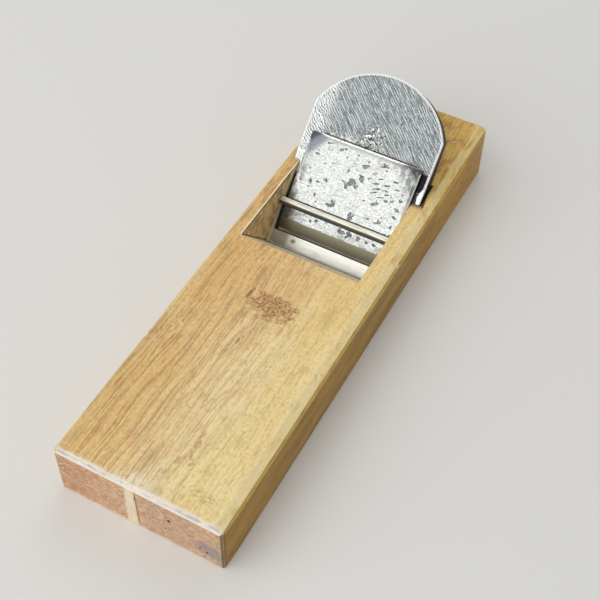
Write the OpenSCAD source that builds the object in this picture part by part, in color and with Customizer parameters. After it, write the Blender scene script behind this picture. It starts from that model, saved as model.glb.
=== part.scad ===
// Japanese pull plane: a white oak block, a wedge-tapered laminated blade held by grooves in
// the throat's cheeks, and a chip breaker driven under a steel pin.
// The sole is on Z 0 and the front end is at -Y; the blade's head leans back towards +Y.

/* [Block] */
// Length of the block
body_l = 270; // [250:5:300]
// Width of the block
body_w = 81; // [80:1:90]
// Height of the block, from the sole to the top face
body_h = 30; // [28:1:34]
// Bevel planed along the top edge of the front end
front_bevel = 2; // [0.5:0.5:3]
// Bevel along the top edge of the rear end
rear_bevel = 0.5; // [0.5:0.5:3]
// Bevel planed along the left top edge
left_bevel = 1; // [0.5:0.5:3]
// Width of the shoulder worn along the right top edge, where the hand grips
shoulder_w = 4.5; // [2:0.5:5]
// Drop of the worn shoulder
shoulder_drop = 1.5; // [0.5:0.5:3]
// Bevel between the shoulder and the right side
shoulder_bevel = 0.9; // [0.3:0.1:1.5]
// Bevel on the upright corner at the front left
front_left_bevel = 0.6; // [0.2:0.2:2]
// Bevel on the upright corner at the front right
front_right_bevel = 1; // [0.4:0.2:2]
// How far the right side is worn back behind that corner
side_wear = 0.6; // [0:0.2:2]
// Length over which that wear runs out along the right side
side_wear_l = 16; // [8:1:30]
// Radius of the two upright corners at the rear end
rear_corner_r = 2.5; // [0.5:0.5:4]
// Bevel along the sole's edges
sole_bevel = 0.8; // [0.2:0.2:1.4]
// Depth to which the sole is relieved between the strips it rides on
sole_relief = 0.3; // [0.1:0.1:0.5]
// Length of the strip left standing at each end of the sole
sole_strip = 14; // [8:1:20]
// Length of the strip left standing ahead of the mouth
mouth_strip = 12; // [8:1:16]

/* [Throat] */
// Distance of the throat and the blade to the left of the block's middle
throat_shift = 2.3; // [0:0.1:2.5]
// Width of the throat between its cheeks
throat_w = 62.6; // [60:0.2:63]
// Distance of the cutting edge behind the block's middle
edge_y = 33.6; // [30:0.2:38]
// Distance from the cutting edge forward to the throat's front edge on the top face
throat_reach = 27.4; // [24:0.2:32]
// Gap between the cutting edge and the front of the mouth
mouth_gap = 1.5; // [0.6:0.1:2]
// Height of the upright wall at the front of the mouth
mouth_wall = 1; // [1:0.5:4]
// Length of the bevel where the bed meets the top face
bed_bevel_l = 5; // [2:0.5:6]
// Drop of the bevel where the bed meets the top face
bed_bevel_h = 5; // [1:0.5:6]
// Side play of the blade in its left groove
groove_play_l = 0.2; // [0.1:0.1:0.3]
// Side play of the blade in its right groove, for setting the edge square
groove_play_r = 0.8; // [0.3:0.1:1.2]

/* [Cheeks] */
// Height along the blade up to which the cheek still meets its face
cheek_foot = 6.3; // [4:0.1:8]
// Height along the blade at which the cheek stands furthest clear of its face, below the pin
cheek_clear = 18.6; // [16:0.2:19]
// Gap between the cheek and the blade's face at that height
cheek_gap = 1.1; // [0.6:0.1:2.2]
// Gap between the abutment and the blade's face at the top of the groove
grip_gap = 0.15; // [0.08:0.01:0.3]

/* [Blade] */
// Pitch of the blade's face above the sole, in degrees
face_pitch = 43; // [42:0.5:45]
// Taper of the blade between its face and its back, in degrees
blade_taper = 2.5; // [1.5:0.25:3]
// Width of the blade
blade_w = 70; // [69:0.2:70.6]
// Length of the blade from the cutting edge to the top of its head
blade_l = 98.5; // [90:0.5:110]
// Thickness that the taper would run down to at the cutting edge
blade_root = 5; // [4:0.25:6]
// Angle of the sharpened bevel, in degrees
sharpening = 28; // [25:1:32]
// Width of the cutting edge between its cut corners
edge_w = 60.5; // [59:0.5:61.5]
// Height of the cut corners
corner_cut = 10; // [9:0.5:10]
// Radius of the domed head
head_r = 38.1; // [36:0.1:50]
// Bevel around the face of the head
face_bevel = 0.6; // [0.2:0.1:1.2]
// How far each side leans in from the face to the back, per mm of thickness
side_lean = 0.14; // [0:0.02:0.3]
// Thickness of the hard-steel face
steel_t = 2.4; // [1.5:0.1:3]
// Height that the hard-steel face reaches up the blade
steel_l = 49; // [44:1:75]
// Depth of the hollow in the hard-steel face
hollow_depth = 0.3; // [0.1:0.1:0.6]
// Flat margin beside the hollow
hollow_margin = 3; // [2:0.5:6]
// Flat strip left between the hollow and the cutting edge
hollow_foot = 8; // [3:0.5:12]

/* [Chip breaker] */
// Width of the chip breaker
breaker_w = 60.6; // [54:0.2:61]
// Width that it narrows to at its edge
breaker_edge_w = 59; // [50:0.2:61]
// Height along the blade from which it narrows
breaker_waist = 41; // [20:1:43]
// Distance of the chip breaker to the right of the blade's middle
breaker_shift = 0.5; // [0:0.1:0.8]
// Distance of its edge above the blade's cutting edge
breaker_setback = 6.8; // [6.5:0.1:9]
// Height of its top end along the blade
breaker_top = 60.2; // [56:0.2:66]
// Length of its front bevel along the blade
breaker_bevel = 6.8; // [5:0.2:8]
// Height of its upper face above the blade at the top of the front bevel
breaker_rise = 3; // [2.6:0.1:3.1]
// Height of its upper face above the blade at its top end
breaker_rise_top = 4.4; // [4:0.1:4.8]
// Gap between the plate and the blade at its top end
breaker_lift = 1.3; // [0.8:0.1:1.8]
// Width of the bent-down left ear along the top end
left_ear_w = 10.5; // [8:0.5:16]
// Height of the bent-down left ear along the side
left_ear_l = 14.5; // [8:0.5:16]
// Width of the bent-down right ear along the top end
right_ear_w = 13; // [8:0.5:16]
// Height of the bent-down right ear along the side
right_ear_l = 10; // [8:0.5:16]
// Thickness left at the tip of each ear
ear_tip = 1.4; // [1:0.1:2]
// Bevel along the plate's upper edges
plate_bevel = 0.6; // [0.2:0.1:1]
// Thickness of the hard-steel strip under the edge
strip_t = 0.9; // [0.6:0.1:1.2]
// Height that the hard-steel strip reaches above the edge
strip_l = 18; // [12:1:26]

/* [Pressure pin] */
// Diameter of the pin
pin_d = 3.8; // [3:0.1:4]
// Height of the pin's axis along the blade
pin_s = 21.9; // [21:0.1:24]
// Height of the pin's axis above the blade's face
pin_h = 5.5; // [5.4:0.05:6]
// Depth of the pin's blind hole in the right cheek
pin_blind = 8; // [5:0.5:9]
// Depth by which the pin's left end sits inside its hole
pin_recess = 2; // [0.5:0.5:3]
// How much smaller than the pin its hole is, so that the wood grips it
pin_grip = 0.1; // [0.05:0.05:0.15]

/* [Hidden] */
$fn = 96;

oak = [0.80, 0.62, 0.38];
iron = [0.48, 0.49, 0.50];
steel = [0.78, 0.79, 0.80];
plate = [0.70, 0.70, 0.69];
pin_colour = [0.86, 0.84, 0.78];

// How far a cut runs past the surface that it opens
cut = 1;
// Hairline left between pieces that seat on each other and slide
seat = 0.02;
// Depth of wood left clear under the blade's cut corners, so that it can be set deeper
corner_room = 0.8;
// Number of flats that a worn curve or a round corner of the block is cut in
block_flats = 8;
// Number of strips that the bend of each ear is hammered in
ear_strips = 5;

bed_pitch = face_pitch - blade_taper;
throat_l_x = -throat_shift - throat_w / 2;
throat_r_x = -throat_shift + throat_w / 2;
groove_l_x = -throat_shift - blade_w / 2 - groove_play_l;
groove_r_x = -throat_shift + blade_w / 2 + groove_play_r;

// Lines in the Y-Z plane of the block
front_y = edge_y - throat_reach;
mouth_y = edge_y - mouth_gap;
bed_foot_y = edge_y
    + (blade_root + seat) * (sin(face_pitch) + cos(face_pitch) / tan(bed_pitch));

// Thickness of the tapered blade at a height along its face
function blade_t(s) = blade_root + s * tan(blade_taper);

// Point of the Y-Z plane at a height s along the blade's face and h above it
function on_face(s, h) = [
    edge_y + s * cos(face_pitch) - h * sin(face_pitch),
    s * sin(face_pitch) + h * cos(face_pitch)
];

// Point of the bed at a height above the sole
function on_bed(z) = [bed_foot_y + z / tan(bed_pitch), z];

// Height along the blade at which a line this far above its face comes out of the top face
function at_top(h) = (body_h - h * cos(face_pitch)) / sin(face_pitch);

// Heel of the sharpened bevel, where it runs out into the blade's back
heel_s = blade_root / (tan(sharpening) - tan(blade_taper));

// Chip breaker lines, as heights above the blade's face
bevel_end = breaker_setback + breaker_bevel;
rise_slope = (breaker_rise_top - breaker_rise) / (breaker_top - bevel_end);
lift_slope = (breaker_lift - seat) / (breaker_top - breaker_setback);
function plate_top(s) = breaker_rise + (s - bevel_end) * rise_slope;
function plate_under(s) = seat + (s - breaker_setback) * lift_slope;

// Draws its 2D child, a Y-Z outline, as a prism from x0 to x1
module across(x0, x1)
    translate([x0, 0, 0])
        rotate([90, 0, 90])
            linear_extrude(x1 - x0)
                children();

// Draws its 2D child, an X-Z outline, as a prism from y0 to y1
module along(y0, y1)
    translate([0, y1, 0])
        rotate([90, 0, 0])
            linear_extrude(y1 - y0)
                children();

// Places its children in the blade's frame: X across, Y up along the face, Z out of the face
module on_blade()
    translate([-throat_shift, edge_y, 0])
        rotate([face_pitch, 0, 0])
            children();

// Quarter of a circle that starts at an angle, as a row of points
function quarter(centre, r, start) = [
    for (i = [0:block_flats])
        centre + r * [cos(start + 90 * i / block_flats), sin(start + 90 * i / block_flats)]
];

// Plan of the block: the right side is worn back along a curve that flattens out behind the
// front right corner, and the rear corners are round
function block_plan(w, l) = concat(
    [
        [-w, -l + front_left_bevel], [-w + front_left_bevel, -l],
        [w - side_wear - front_right_bevel, -l]
    ],
    [
        for (i = [0:block_flats])
            let (rest = 1 - i / block_flats)
                [w - side_wear * rest * rest, -l + front_right_bevel + side_wear_l * (1 - rest)]
    ],
    quarter([w - rear_corner_r, l - rear_corner_r], rear_corner_r, 0),
    quarter([-w + rear_corner_r, l - rear_corner_r], rear_corner_r, 90)
);

// Block with all its edges bevelled
module block() {
    w = body_w / 2;
    l = body_l / 2;
    shoulder_z = body_h - shoulder_drop;
    intersection() {
        along(-l - cut, l + cut)
            polygon([
                [-w + sole_bevel, 0], [w - sole_bevel, 0], [w, sole_bevel],
                [w, shoulder_z - shoulder_bevel], [w - shoulder_bevel, shoulder_z],
                [w - shoulder_w, body_h],
                [-w + left_bevel, body_h], [-w, body_h - left_bevel], [-w, sole_bevel]
            ]);
        across(-w - cut, w + cut)
            polygon([
                [-l + sole_bevel, 0], [l - sole_bevel, 0], [l, sole_bevel],
                [l, body_h - rear_bevel], [l - rear_bevel, body_h],
                [-l + front_bevel, body_h], [-l, body_h - front_bevel], [-l, sole_bevel]
            ]);
        translate([0, 0, -cut])
            linear_extrude(body_h + 2 * cut)
                polygon(block_plan(w, l));
    }
}

// Throat and mouth between the cheeks, open from the top face to the sole
module throat()
    across(throat_l_x, throat_r_x)
        polygon([
            [front_y - cut * throat_reach / body_h, body_h + cut],
            [front_y, body_h],
            [mouth_y, mouth_wall],
            [mouth_y, -cut],
            on_bed(-cut),
            on_bed(body_h + cut)
        ]);

// Outline of a groove: the bed behind, and in front the cheek's foot, the point below the pin
// where it stands clear, and the abutment that the blade's face is driven under
module groove_outline()
    polygon([
        on_bed(-cut),
        on_face(-cut / sin(face_pitch), grip_gap),
        on_face(cheek_foot, grip_gap),
        on_face(cheek_clear, cheek_gap),
        on_face(at_top(grip_gap), grip_gap),
        on_face(at_top(grip_gap) + 2 * cut, grip_gap),
        on_bed(body_h + 2 * cut)
    ]);

// Lowest point of a cut corner at a distance x from the blade's middle line
function corner_z(x) =
    (x - edge_w / 2) * corner_cut / ((blade_w - edge_w) / 2)
    * (sin(face_pitch) - tan(sharpening) * cos(face_pitch));

// Front view of the two grooves: their floors slope up and out under the blade's cut corners
module groove_view() {
    l = -throat_shift - groove_l_x;
    r = groove_r_x + throat_shift;
    top = body_h + 2 * cut;
    translate([-throat_shift, 0])
        polygon([
            [-throat_w / 2, corner_z(throat_w / 2) - corner_room],
            [throat_w / 2, corner_z(throat_w / 2) - corner_room],
            [r, corner_z(r) - corner_room], [r, top],
            [-l, top], [-l, corner_z(l) - corner_room]
        ]);
}

// Both grooves, with the part of the throat between them
module grooves()
    intersection() {
        across(groove_l_x - cut, groove_r_x + cut)
            groove_outline();
        along(0, body_l / 2)
            groove_view();
    }

// Bevel that opens the slot behind the blade on the top face
module bed_mouth()
    across(groove_l_x, groove_r_x)
        polygon([
            on_bed(body_h - bed_bevel_h),
            on_bed(body_h) + [bed_bevel_l, 0],
            on_bed(body_h) + [bed_bevel_l, cut],
            on_bed(body_h) + [0, cut],
            on_bed(body_h) - [cut, 0]
        ]);

// Shallow hollows that leave the sole riding on a strip at each end and one at the mouth
module sole_hollows() {
    half = body_l / 2;
    front = [-half + sole_strip, mouth_y - mouth_strip];
    rear = [edge_y + mouth_gap, half - sole_strip];
    for (span = [front, rear])
        translate([-body_w, span[0], -cut])
            cube([2 * body_w, span[1] - span[0], cut + sole_relief]);
}

// A rod along X on the pin's axis
module pin_rod(d, x0, x1)
    translate([x0, on_face(pin_s, pin_h)[0], on_face(pin_s, pin_h)[1]])
        rotate([0, 90, 0])
            cylinder(d = d, h = x1 - x0);

module plane_body()
    color(oak)
        difference() {
            block();
            throat();
            grooves();
            bed_mouth();
            sole_hollows();
            pin_rod(pin_d - pin_grip, -body_w / 2 - cut, throat_r_x + pin_blind);
        }

module pressure_pin()
    color(pin_colour)
        pin_rod(pin_d, -body_w / 2 + pin_recess, throat_r_x + pin_blind);

// Side outline of the blade in its own frame: wedge taper, sharpened bevel and square head
module blade_outline()
    polygon([
        [0, 0], [heel_s, -blade_t(heel_s)],
        [blade_l + cut, -blade_t(blade_l + cut)], [blade_l + cut, 0]
    ]);

// Section across the blade: sides leaning in towards the back, with a fine bevel at the face
module blade_section() {
    half = blade_w / 2;
    deep = blade_t(blade_l) + cut;
    polygon([
        [-half + face_bevel + cut, cut], [-half, -face_bevel],
        [-half + side_lean * deep, -deep], [half - side_lean * deep, -deep],
        [half, -face_bevel], [half - face_bevel - cut, cut]
    ]);
}

// Plan of the blade: cut corners below, and a circle of the head's radius above its shoulders
module blade_plan() {
    half = blade_w / 2;
    deep = blade_t(blade_l) + cut;
    dome_s = blade_l - head_r;
    shoulder_s = dome_s + sqrt(head_r * head_r - half * half);
    slope = corner_cut / (half - edge_w / 2);
    foot = edge_w / 2 - cut / slope;
    translate([0, 0, -deep])
        linear_extrude(deep + cut)
            polygon([
                [-foot, -cut], [foot, -cut],
                [half + cut, corner_cut + cut * slope], [half + cut, shoulder_s],
                [-half - cut, shoulder_s], [-half - cut, corner_cut + cut * slope]
            ]);
    translate([0, dome_s, -deep])
        cylinder(r = head_r, h = deep - face_bevel);
    translate([0, dome_s, -face_bevel])
        cylinder(r1 = head_r, r2 = head_r - face_bevel - cut, h = face_bevel + cut);
}

// Whole blade in its own frame, before it is parted into iron and steel
module blade_blank()
    intersection() {
        across(-blade_w, blade_w)
            blade_outline();
        along(-cut, blade_l + cut)
            blade_section();
        blade_plan();
    }

// Space of the hard-steel face, with its upper end feathered into the iron
module steel_zone()
    across(-blade_w, blade_w)
        polygon([
            [-cut, -steel_t], [steel_l - 2 * steel_t, -steel_t],
            [steel_l, 0], [steel_l + 2 * cut, cut], [-cut, cut]
        ]);

// Arched hollow in the face, which leaves flat margins to lap on a stone
module face_hollow() {
    half = blade_w / 2 - hollow_margin;
    arch_r = half + 4;
    arch_s = steel_l - 5 - arch_r;
    translate([0, 0, -hollow_depth])
        linear_extrude(hollow_depth + cut)
            intersection() {
                translate([-half, hollow_foot])
                    square([2 * half, steel_l]);
                union() {
                    translate([0, arch_s])
                        circle(r = arch_r);
                    translate([-half, 0])
                        square([2 * half, arch_s]);
                }
            }
}

module blade_iron()
    color(iron)
        on_blade()
            difference() {
                blade_blank();
                steel_zone();
            }

module blade_steel()
    color(steel)
        on_blade()
            difference() {
                intersection() {
                    blade_blank();
                    steel_zone();
                }
                face_hollow();
            }

// Side outline of the chip breaker: a fine steep bevel at the edge, the long front bevel, the
// nearly flat upper face, and an underside that lifts off the blade above the edge
module breaker_outline()
    polygon([
        [breaker_setback, seat],
        [breaker_setback + 0.25, seat + 0.4],
        [bevel_end, breaker_rise],
        [breaker_top, breaker_rise_top],
        [breaker_top, breaker_lift]
    ]);

// Block that the chip breaker is trimmed to: bevels along its upper side edges and its top end,
// and sides that narrow towards its edge
module breaker_trim() {
    half = breaker_w / 2;
    edge_half = breaker_edge_w / 2;
    low = breaker_rise - plate_bevel;
    high = breaker_rise_top + cut;
    intersection() {
        translate([0, 0, -cut])
            linear_extrude(high + 2 * cut)
                polygon([
                    [-edge_half, breaker_setback], [edge_half, breaker_setback],
                    [half, breaker_waist], [half, breaker_top + cut],
                    [-half, breaker_top + cut], [-half, breaker_waist]
                ]);
        along(0, breaker_top)
            polygon([
                [-half, -cut], [half, -cut], [half, low], [half + low - high, high],
                [high - low - half, high], [-half, low]
            ]);
        across(-breaker_w, breaker_w)
            polygon([
                [0, -cut], [breaker_top, -cut], [breaker_top, breaker_rise_top - plate_bevel],
                [breaker_top - plate_bevel - cut, high], [0, high]
            ]);
    }
}

// Everything beyond the crease of a right-hand ear w wide and l high
module ear_corner(w, l) {
    half = breaker_w / 2;
    translate([0, 0, -cut])
        linear_extrude(breaker_rise_top + 2 * cut)
            polygon([
                [half - 2 * w, breaker_top + l],
                [half + w, breaker_top - 2 * l],
                [half + w, breaker_top + l]
            ]);
}

// Right-hand ear w wide and l high: a row of lines parallel to its crease, each with two points
// below and two above, which bend down ever more steeply to the tip and thin out towards it
module ear(w, l) {
    half = breaker_w / 2;
    function on_end(t) = [half - w * (1 - t), breaker_top];
    function on_side(t) = [half, breaker_top - l * (1 - t)];
    function below(p, t) = [p[0], p[1], plate_under(p[1]) * (1 - t * t) + seat * t * t];
    function above(p, t) = [p[0], p[1], plate_top(p[1]) * (1 - t * t) + ear_tip * t * t];
    last = 4 * (ear_strips - 1);
    tip = 4 * ear_strips;
    polyhedron(
        points = concat(
            [
                for (i = [0:ear_strips - 1])
                    let (t = i / ear_strips)
                        each [
                            below(on_end(t), t), below(on_side(t), t),
                            above(on_side(t), t), above(on_end(t), t)
                        ]
            ],
            [below(on_end(1), 1), above(on_end(1), 1)]
        ),
        faces = concat(
            [[0, 3, 2, 1]],
            [
                for (i = [0:ear_strips - 2])
                    let (a = 4 * i, b = a + 4)
                        each [
                            [a, a + 1, b + 1], [a, b + 1, b],
                            [a + 3, b + 3, b + 2], [a + 3, b + 2, a + 2],
                            [b, b + 3, a + 3, a], [a + 1, a + 2, b + 2, b + 1]
                        ]
            ],
            [
                [last, last + 1, tip], [last + 3, tip + 1, last + 2],
                [tip, tip + 1, last + 3, last], [last + 1, last + 2, tip + 1, tip]
            ]
        )
    );
}

// Whole chip breaker in the blade's frame, before its edge strip is parted off
module breaker_blank()
    translate([breaker_shift, 0, 0])
        intersection() {
            breaker_trim();
            union() {
                difference() {
                    across(-breaker_w / 2 - cut, breaker_w / 2 + cut)
                        breaker_outline();
                    ear_corner(right_ear_w, right_ear_l);
                    mirror([1, 0, 0])
                        ear_corner(left_ear_w, left_ear_l);
                }
                ear(right_ear_w, right_ear_l);
                mirror([1, 0, 0])
                    ear(left_ear_w, left_ear_l);
            }
        }

// Space of the hard-steel strip along the underside of the edge, feathered at its upper end
module strip_zone() {
    end_s = breaker_setback + strip_l;
    full_s = end_s - 3 * strip_t;
    across(-blade_w, blade_w)
        polygon([
            [breaker_setback - cut, -cut], [end_s, -cut],
            [full_s, plate_under(full_s) + strip_t],
            [breaker_setback - cut, plate_under(breaker_setback - cut) + strip_t]
        ]);
}

module chip_breaker()
    color(plate)
        on_blade()
            difference() {
                breaker_blank();
                strip_zone();
            }

module chip_breaker_steel()
    color(steel)
        on_blade()
            intersection() {
                breaker_blank();
                strip_zone();
            }

plane_body();
blade_iron();
blade_steel();
chip_breaker();
chip_breaker_steel();
pressure_pin();
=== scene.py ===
"""Looks of an old Japanese pull plane: oak block, laminated blade, chip breaker and pin."""

import logging
import math
import random
from collections.abc import Callable
from dataclasses import dataclass, field
from enum import Enum
from typing import Any, Protocol

import bmesh
import bpy
from mathutils import Matrix, Vector, noise


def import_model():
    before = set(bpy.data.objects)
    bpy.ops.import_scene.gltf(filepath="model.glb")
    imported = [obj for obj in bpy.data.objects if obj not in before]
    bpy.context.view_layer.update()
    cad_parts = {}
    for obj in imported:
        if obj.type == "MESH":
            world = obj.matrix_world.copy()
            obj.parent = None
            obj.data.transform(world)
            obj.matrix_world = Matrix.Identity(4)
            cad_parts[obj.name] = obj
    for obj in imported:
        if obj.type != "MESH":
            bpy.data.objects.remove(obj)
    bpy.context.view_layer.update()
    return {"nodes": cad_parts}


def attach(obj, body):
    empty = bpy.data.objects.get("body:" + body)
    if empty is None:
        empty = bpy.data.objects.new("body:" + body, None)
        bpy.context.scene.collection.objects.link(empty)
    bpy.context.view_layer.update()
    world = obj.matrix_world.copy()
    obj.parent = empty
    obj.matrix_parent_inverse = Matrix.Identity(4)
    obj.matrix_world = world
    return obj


LOG = logging.getLogger("plane")
MM = 0.001
IMAGE_PX = 600
FACE_PITCH = math.radians(43.0)
CUTTING_EDGE_MM = (0.0, 33.6, 0.0)

UP, DOWN = (0.0, 0.0, 1.0), (0.0, 0.0, -1.0)
RIGHT, LEFT = (1.0, 0.0, 0.0), (-1.0, 0.0, 0.0)
REAR, FRONT = (0.0, 1.0, 0.0), (0.0, -1.0, 0.0)
OUT_OF_FACE = (0.0, -math.sin(FACE_PITCH), math.cos(FACE_PITCH))
UP_THE_FACE = (0.0, math.cos(FACE_PITCH), math.sin(FACE_PITCH))


def linear(code: str) -> tuple[float, float, float, float]:
    """Turns an sRGB hex value into the linear colour that shaders take.

    Args:
        code: A value such as "#C8A06A".

    Returns:
        Linear red, green and blue, with an alpha of 1.
    """
    parts = [int(code[i : i + 2], 16) / 255 for i in (1, 3, 5)]
    r, g, b = (c / 12.92 if c <= 0.04045 else ((c + 0.055) / 1.055) ** 2.4 for c in parts)
    return (r, g, b, 1.0)


def add(tree: bpy.types.NodeTree, kind: str, inputs: dict | None = None, **settings: Any) -> Any:
    """Adds a node, sets its properties and fills its inputs.

    Args:
        tree: Node tree that gets the node.
        kind: Blender's name of the node type.
        inputs: Values or output sockets by input name or number.
        **settings: Properties of the node itself.

    Returns:
        The new node.
    """
    made = tree.nodes.new(kind)
    for name, value in settings.items():
        setattr(made, name, value)
    for key, value in (inputs or {}).items():
        if isinstance(value, bpy.types.NodeSocket):
            tree.links.new(value, made.inputs[key])
        else:
            made.inputs[key].default_value = value
    return made


class Space(Enum):
    """Frames that patterns are laid out in, all in millimetres."""

    BLOCK = "the shared frame"
    GRAIN = "the shared frame, bent sideways as the fibres of the wood wander"
    FACE = "X across the blade, Y up its face from the cutting edge, Z out of it"


@dataclass
class Canvas:
    """The node tree of one material, with the coordinates of each space made once."""

    tree: bpy.types.NodeTree
    places: dict[Space, Any] = field(default_factory=dict)
    wander_mm: float = 16.0
    wander_size_mm: tuple[float, float, float] = (42.0, 105.0, 42.0)

    def place(self, space: Space) -> Any:
        """Gives the coordinates of the surface.

        Args:
            space: Frame that they are wanted in.

        Returns:
            A vector socket in millimetres.
        """
        if space is Space.GRAIN and space not in self.places:
            place = self.place(Space.BLOCK)
            slow = add(self.tree, "ShaderNodeMapping", {
                "Vector": place, "Scale": self.wander_size_mm}, vector_type="TEXTURE").outputs[0]
            wild = add(self.tree, "ShaderNodeTexNoise", {
                "Vector": slow, "Scale": 1.0}).outputs["Color"]
            self.places[space] = add(self.tree, "ShaderNodeVectorMath", {
                0: wild, 1: (self.wander_mm, 0.0, self.wander_mm), 2: place,
            }, operation="MULTIPLY_ADD").outputs[0]
        if space not in self.places:
            place = add(self.tree, "ShaderNodeTexCoord").outputs["Object"]
            if space is Space.FACE:
                place = add(self.tree, "ShaderNodeMapping", {
                    "Vector": place,
                    "Location": Vector(CUTTING_EDGE_MM) * MM,
                    "Rotation": (FACE_PITCH, 0.0, 0.0),
                }, vector_type="TEXTURE").outputs[0]
            self.places[space] = add(
                self.tree, "ShaderNodeVectorMath", {0: place, "Scale": 1 / MM}, operation="SCALE",
            ).outputs[0]
        return self.places[space]

    def ramp(self, value: Any, low: float, high: float) -> Any:
        """Fades a value from 0 at one level to 1 at another.

        Args:
            value: Socket that is measured.
            low: Level that gives 0.
            high: Level that gives 1, which may be the lower one.

        Returns:
            The faded value's socket.
        """
        return add(self.tree, "ShaderNodeMapRange", {
            "Value": value, "From Min": low, "From Max": high,
        }, interpolation_type="SMOOTHSTEP").outputs[0]


class Mask(Protocol):
    """Anything that says how strongly a layer shows at each point of a surface."""

    def factor(self, canvas: Canvas) -> Any:
        """Returns a socket that is 0 where the layer is absent and 1 where it is full."""


class Weave(Enum):
    """Kinds of procedural pattern that the finishes are made of."""

    CLOUD = "noise"
    CELLS = "voronoi"


@dataclass(frozen=True)
class Pattern:
    """A pattern whose grains have a real size, cut off softly between two levels."""

    size_mm: tuple[float, float, float]
    low: float
    high: float
    weave: Weave = Weave.CLOUD
    detail: float = 2.0
    origin_mm: tuple[float, float, float] = (0.0, 0.0, 0.0)
    turn_deg: float = 0.0
    space: Space = Space.BLOCK

    def factor(self, canvas: Canvas) -> Any:
        """Lays the pattern over the surface.

        Args:
            canvas: Canvas of the finish.

        Returns:
            Its 0 to 1 factor.
        """
        scaled = add(canvas.tree, "ShaderNodeMapping", {
            "Vector": canvas.place(self.space),
            "Location": self.origin_mm,
            "Rotation": (0.0, 0.0, math.radians(self.turn_deg)),
            "Scale": self.size_mm,
        }, vector_type="TEXTURE").outputs[0]
        if self.weave is Weave.CLOUD:
            raw = add(canvas.tree, "ShaderNodeTexNoise", {
                "Vector": scaled, "Scale": 1.0, "Detail": self.detail}).outputs["Fac"]
        else:
            raw = add(canvas.tree, "ShaderNodeTexVoronoi", {
                "Vector": scaled, "Scale": 1.0}).outputs["Distance"]
        return canvas.ramp(raw, self.low, self.high)


@dataclass(frozen=True)
class Spot:
    """A rounded patch around one place, with a soft or a ragged outline."""

    centre_mm: tuple[float, float, float]
    radius_mm: tuple[float, float, float]
    soft: float = 0.4
    ragged: float = 0.0
    ragged_mm: float = 2.0
    turn_deg: float = 0.0
    space: Space = Space.BLOCK

    def factor(self, canvas: Canvas) -> Any:
        """Measures how far each point is from the centre, in radii.

        Args:
            canvas: Canvas of the finish.

        Returns:
            1 inside the patch and 0 outside.
        """
        place = canvas.place(self.space)
        scaled = add(canvas.tree, "ShaderNodeMapping", {
            "Vector": place,
            "Location": self.centre_mm,
            "Rotation": (0.0, 0.0, math.radians(self.turn_deg)),
            "Scale": self.radius_mm,
        }, vector_type="TEXTURE").outputs[0]
        reach = add(canvas.tree, "ShaderNodeVectorMath", {0: scaled}, operation="LENGTH")
        reach = reach.outputs["Value"]
        if self.ragged:
            wild = add(canvas.tree, "ShaderNodeTexNoise", {
                "Vector": place, "Scale": 1 / self.ragged_mm}).outputs["Fac"]
            reach = add(canvas.tree, "ShaderNodeMath", {
                0: wild, 1: 2 * self.ragged, 2: reach}, operation="MULTIPLY_ADD").outputs[0]
        middle = 1.0 + self.ragged
        return canvas.ramp(reach, middle + self.soft, middle - self.soft)


@dataclass(frozen=True)
class Facing:
    """The parts of a surface that look one way."""

    way: tuple[float, float, float]
    low: float = 0.4
    high: float = 0.8

    def factor(self, canvas: Canvas) -> Any:
        """Compares the surface's own normal with the way.

        Args:
            canvas: Canvas of the finish.

        Returns:
            1 where the surface looks that way and 0 where it looks away.
        """
        normal = add(canvas.tree, "ShaderNodeTexCoord").outputs["Normal"]
        dot = add(canvas.tree, "ShaderNodeVectorMath", {
            0: normal, 1: Vector(self.way).normalized()}, operation="DOT_PRODUCT")
        return canvas.ramp(dot.outputs["Value"], self.low, self.high)


@dataclass(frozen=True)
class Past:
    """Everything past a plane: it fades in between two distances along a direction."""

    way: tuple[float, float, float]
    low_mm: float
    high_mm: float
    space: Space = Space.BLOCK

    def factor(self, canvas: Canvas) -> Any:
        """Measures the distance along the direction.

        Args:
            canvas: Canvas of the finish.

        Returns:
            0 at the first distance and 1 at the second.
        """
        dot = add(canvas.tree, "ShaderNodeVectorMath", {
            0: canvas.place(self.space), 1: self.way}, operation="DOT_PRODUCT")
        return canvas.ramp(dot.outputs["Value"], self.low_mm, self.high_mm)


@dataclass(frozen=True)
class Rings:
    """Growth rings of a log that runs along the block, around a heart beside and above it."""

    spacing_mm: float
    fade: float
    heart_mm: tuple[float, float, float] = (90.0, 0.0, 150.0)

    def factor(self, canvas: Canvas) -> Any:
        """Measures the distance from the heart and repeats it ring by ring.

        Args:
            canvas: Canvas of the finish.

        Returns:
            1 where a ring starts, fading to 0 within the ring.
        """
        across = add(canvas.tree, "ShaderNodeVectorMath", {
            0: canvas.place(Space.GRAIN), 1: (1.0, 0.0, 1.0),
            2: tuple(-v for v in self.heart_mm),
        }, operation="MULTIPLY_ADD").outputs[0]
        reach = add(canvas.tree, "ShaderNodeVectorMath", {0: across}, operation="LENGTH")
        count = add(canvas.tree, "ShaderNodeMath", {
            0: reach.outputs["Value"], 1: self.spacing_mm}, operation="DIVIDE").outputs[0]
        phase = add(canvas.tree, "ShaderNodeMath", {0: count}, operation="FRACT").outputs[0]
        return canvas.ramp(phase, self.fade, 0.0)


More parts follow.
